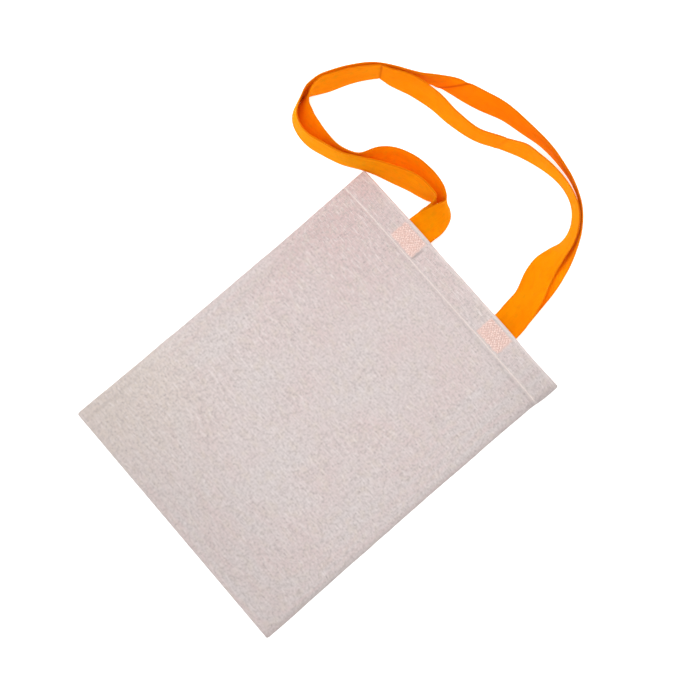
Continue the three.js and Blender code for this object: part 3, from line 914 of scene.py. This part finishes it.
# Painted shade in the gaps between threads.
colour = mix(web, gap_shade(web, weave, most=0.36), colour, SHADED_GAP)
web.links.new(colour, shader.inputs["Base Color"])
print("tape colour layers: dye, ribs, deep and dull spots, rub, selvedges, creases, gaps")

# %% [markdown]
# The ribs and the weave give the tape its relief. Light passes some way into such soft tape, so
# subsurface scattering brightens the sides that are turned from the light. Red and yellow light go
# furthest, so the radius is small for blue.

# %% Relief and glow of the tape
ORANGE_SHEEN = (1.0, 0.45, 0.02, 1.0)
LIGHT_REACH, LIGHT_DEPTH = (1.0, 0.9, 0.1), 3.5

web.links.new(between(web, dye, 0.3, 0.7, 0.78, 0.92), shader.inputs["Roughness"])
ribbing = maths(web, "ADD", weave, maths(web, "MULTIPLY", ribs, 2.0))
raise_surface(web, shader, ribbing, distance=0.12, strength=0.8)
set_inputs(shader, {"Sheen Weight": 0.05, "Sheen Tint": ORANGE_SHEEN, "Specular IOR Level": 0.03})
set_inputs(shader, {
    "Subsurface Weight": 0.8,
    "Subsurface Radius": LIGHT_REACH,
    "Subsurface Scale": LIGHT_DEPTH * MM,
})
for strap in (front_strap, back_strap):
    strap.data.materials.append(orange)
print("tape:", len(web.nodes), "nodes")

# %% [markdown]
# Sewing thread is smoother than the cloth and a shade paler, so a row of it reads as a light line.
# In the blocks above the hem line the orange of the strap underneath glows through it. Its two plies
# are far too thin to model. A fine slanting wave in the bump gives their twist.

# %% Thread
CREAM, CREAM_DARK = linear(226, 214, 209), linear(214, 199, 193)
WARM, WARM_DARK = linear(240, 219, 212), linear(214, 179, 168)
PLY_SCALE = 900.0

thread, twist, shader = new_material("cream_thread")
place = twist.nodes.new("ShaderNodeTexCoord").outputs["Object"]
fibre = speckle(twist, place, across=1.1, along=1.1, detail=2.0, seed=1.0)
shade = between(twist, fibre, 0.38, 0.62)
colour = mix(twist, shade, CREAM, CREAM_DARK)
glowing = mix(twist, shade, WARM, WARM_DARK)
on_bag = twist.nodes.new("ShaderNodeSeparateXYZ")
twist.links.new(place, on_bag.inputs["Vector"])
in_block = between(twist, on_bag.outputs["Y"], (HEM_LINE_Y + 0.9) * MM, (HEM_LINE_Y + 1.5) * MM)
colour = mix(twist, in_block, colour, glowing)
twist.links.new(colour, shader.inputs["Base Color"])
ply = twist.nodes.new("ShaderNodeTexWave")
ply.bands_direction = "DIAGONAL"
set_inputs(ply, {"Scale": PLY_SCALE})
twist.links.new(place, ply.inputs["Vector"])
raise_surface(twist, shader, ply.outputs["Fac"], distance=0.06, strength=0.5)
set_inputs(shader, {"Roughness": 0.6, "Specular IOR Level": 0.35})
print("thread:", len(twist.nodes), "nodes")

# %% [markdown]
# The hem is closed with one row of lockstitches. Each strap end is held by a block of zigzag rows,
# stitched closely enough to look like a patch. The guides are loose edges laid on the height of the
# cloth, with a hand's small unevenness from a seeded generator. The back is sewn the same way, with
# its stitches sunk so that they clear the surface.

# %% Guides for the stitches
STITCH, STITCH_GAP = 3.0, 0.5
SIDE_CLEARANCE = 0.7
ZIGZAG_ROWS, ZIGZAG_STEP = 5, 1.15
ZIGZAG_INSET, ROW_CLEARANCE = 0.6, 0.1
UNEVEN, ZIGZAG_UNEVEN = 0.09, 0.22
BACK_SINK = 0.35
dice = np.random.default_rng(12)


def hem_stitches(y):
    """Starts and ends of the lockstitches along the hem."""
    reach = half_width(y) - SIDE_CLEARANCE
    starts = np.arange(-reach, reach - STITCH, STITCH)
    x = np.stack([starts, starts + STITCH - STITCH_GAP], -1)
    stitches = np.stack([x, np.full_like(x, y)], -1)
    return stitches + dice.normal(0, UNEVEN, stitches.shape)


def zigzag_stitches(middle):
    """Starts and ends of the slanting stitches that fill one block."""
    rise = (BLOCK_HIGH_Y - BLOCK_LOW_Y) / ZIGZAG_ROWS
    left, right = middle - BLOCK_HALF + ZIGZAG_INSET, middle + BLOCK_HALF - ZIGZAG_INSET
    x = np.arange(left, right, ZIGZAG_STEP)
    stitches = []
    for row in range(ZIGZAG_ROWS):
        low = BLOCK_LOW_Y + row * rise
        high = low + rise - ROW_CLEARANCE
        y = np.where(np.arange(len(x)) % 2, high, low + ROW_CLEARANCE)
        corner = np.stack([x, y], -1) + dice.normal(0, ZIGZAG_UNEVEN, (len(x), 2))
        stitches.append(np.stack([corner[:-1], corner[1:]], 1))
    return np.concatenate(stitches)


def stitch_guide(name, height):
    """A mesh of loose edges, one for each stitch, on the face that height gives."""
    plan = np.concatenate([hem_stitches(HEM_LINE_Y), *[zigzag_stitches(m) for m in STRAP_MIDDLES]])
    ends = plan.reshape(-1, 2)
    points = np.stack([*ends.T, height(*ends.T)], -1) * MM
    mesh = bpy.data.meshes.new(name)
    mesh.from_pydata(points.tolist(), np.arange(len(points)).reshape(-1, 2).tolist(), [])
    return in_scene(name, mesh)


front_guide = stitch_guide("front_guide", front_face)
back_guide = stitch_guide("back_guide", lambda x, y: back_face(x, y) + BACK_SINK)
print("stitches:", len(front_guide.data.edges), "in front,", len(back_guide.data.edges), "behind")

# %% [markdown]
# The sewing tree now runs on each guide. Its inputs are set by the sockets' identifiers before the
# object is first evaluated. The evaluated result is copied to a plain mesh, and the guide with its
# modifier is thrown away.

# %% Sew
THREAD_RADIUS = 0.36
ARCH = 0.42
BACK_ARCH = -ARCH / 2


def sew(guide, name, arch):
    """The stitches on a guide, as a plain mesh of their own."""
    modifier = guide.modifiers.new("sewing", "NODES")
    modifier.node_group = sewing
    values = {"Thread Radius": THREAD_RADIUS * MM, "Arch": arch * MM, "Thread": thread}
    for socket in sewing.interface.items_tree:
        if socket.in_out == "INPUT" and socket.name in values:
            modifier[socket.identifier] = values[socket.name]
    evaluated = guide.evaluated_get(bpy.context.evaluated_depsgraph_get())
    piece = in_scene(name, bpy.data.meshes.new_from_object(evaluated))
    bpy.data.objects.remove(guide)
    return piece


front_stitches = sew(front_guide, "front_stitches", ARCH)
back_stitches = sew(back_guide, "back_stitches", BACK_ARCH)
print("stitch faces:", len(front_stitches.data.polygons), "and", len(back_stitches.data.polygons))

# %% [markdown]
# Each finished piece rides on the part's one body and replaces its plain solid, which is hidden.
# The stitches ride on the same body.

# %% Hang each piece on the body
for piece, node, slot in (
    (front_cloth, "front_panel", "canvas_front"),
    (back_cloth, "back_panel", "canvas_back"),
    (front_strap, "handle_front", "strap_front"),
    (back_strap, "handle_back", "strap_back"),
):
    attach(piece, "root")
    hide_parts(node)
for stitches in (front_stitches, back_stitches):
    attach(stitches, "root")

# %% [markdown]
# The bag is shown on a white surface, a single large square, so that no edge of it comes into view.
# It is plain and matt, and glows faintly, as a light table does, which keeps it white between the
# straps.

# %% Surface
WHITE = (1.0, 1.0, 1.0, 1.0)
SURFACE_WHITE = (0.94, 0.94, 0.94, 1.0)
SURFACE_GLOW = 0.45
FAR = 20.0
FLOOR_CORNERS = ((-1, -1), (1, -1), (1, 1), (-1, 1))

floor_mesh = bpy.data.meshes.new("surface")
floor_mesh.from_pydata([(x * FAR, y * FAR, 0) for x, y in FLOOR_CORNERS], [], [(0, 1, 2, 3)])
floor = in_scene("surface", floor_mesh)
white, _, shader = new_material("white_surface")
set_inputs(shader, {
    "Base Color": SURFACE_WHITE,
    "Emission Color": WHITE,
    "Emission Strength": SURFACE_GLOW,
    "Roughness": 0.9,
    "Specular IOR Level": 0.1,
})
floor_mesh.materials.append(white)
print("surface:", 2 * FAR, "m wide")

# %% [markdown]
# The light is soft and nearly shadowless. A bright even sky fills every side, and one large softbox
# overhead, nearer the mouth than the base, lets the cloth fall off a little in tone towards the base
# and gives the tapes some shape.

# %% Light
SKY = 0.92
SOFTBOX_WATTS, SOFTBOX_SIZE = 5.6, 0.8
SOFTBOX_PLACE, SOFTBOX_AIM = Vector((-0.2, 0.15, 0.9)), Vector((0, 0.05, 0))

world = bpy.data.worlds.new("soft_sky")
world.use_nodes = True
sky = world.node_tree.nodes["Background"]
set_inputs(sky, {"Color": WHITE, "Strength": SKY})
bpy.context.scene.world = world
lamp = bpy.data.lights.new("softbox", "AREA")
lamp.energy, lamp.size = SOFTBOX_WATTS, SOFTBOX_SIZE
softbox = in_scene("softbox", lamp)
softbox.location = SOFTBOX_PLACE
softbox.rotation_euler = (SOFTBOX_AIM - SOFTBOX_PLACE).to_track_quat("-Z", "Y").to_euler()
print("sky strength", SKY, "softbox", SOFTBOX_WATTS, "W")

# %% [markdown]
# The camera looks down from about 82 degrees above the surface, turned so that the bag lies
# slantwise in the square picture. Its axes are given straight away: the picture's right-hand
# direction on the surface and the direction back to the camera. The lens shows 556 mm across at
# its distance of 1.2 m.

# %% Camera
LOOK_AT = Vector((-13.2, 46.0, 0.0)) * MM
DISTANCE = 1.2
PICTURE_WIDTH = 555.6 * MM
SENSOR_WIDTH = 36.0
right = Vector((0.6549, 0.7557, 0.0)).normalized()
back = Vector((0.1052, -0.0911, 0.9903)).normalized()
upward = back.cross(right)
eye = LOOK_AT + back * DISTANCE
lens = bpy.data.cameras.new("camera")
lens.sensor_width = SENSOR_WIDTH
lens.lens = lens.sensor_width * DISTANCE / PICTURE_WIDTH
camera = in_scene("camera", lens)
camera.matrix_world = Matrix.Translation(eye) @ Matrix((right, upward, back)).transposed().to_4x4()
bpy.context.scene.camera = camera
bpy.context.scene.view_settings.view_transform = "Standard"
print(f"lens {lens.lens:.1f} mm at {[round(c, 3) for c in eye]}")
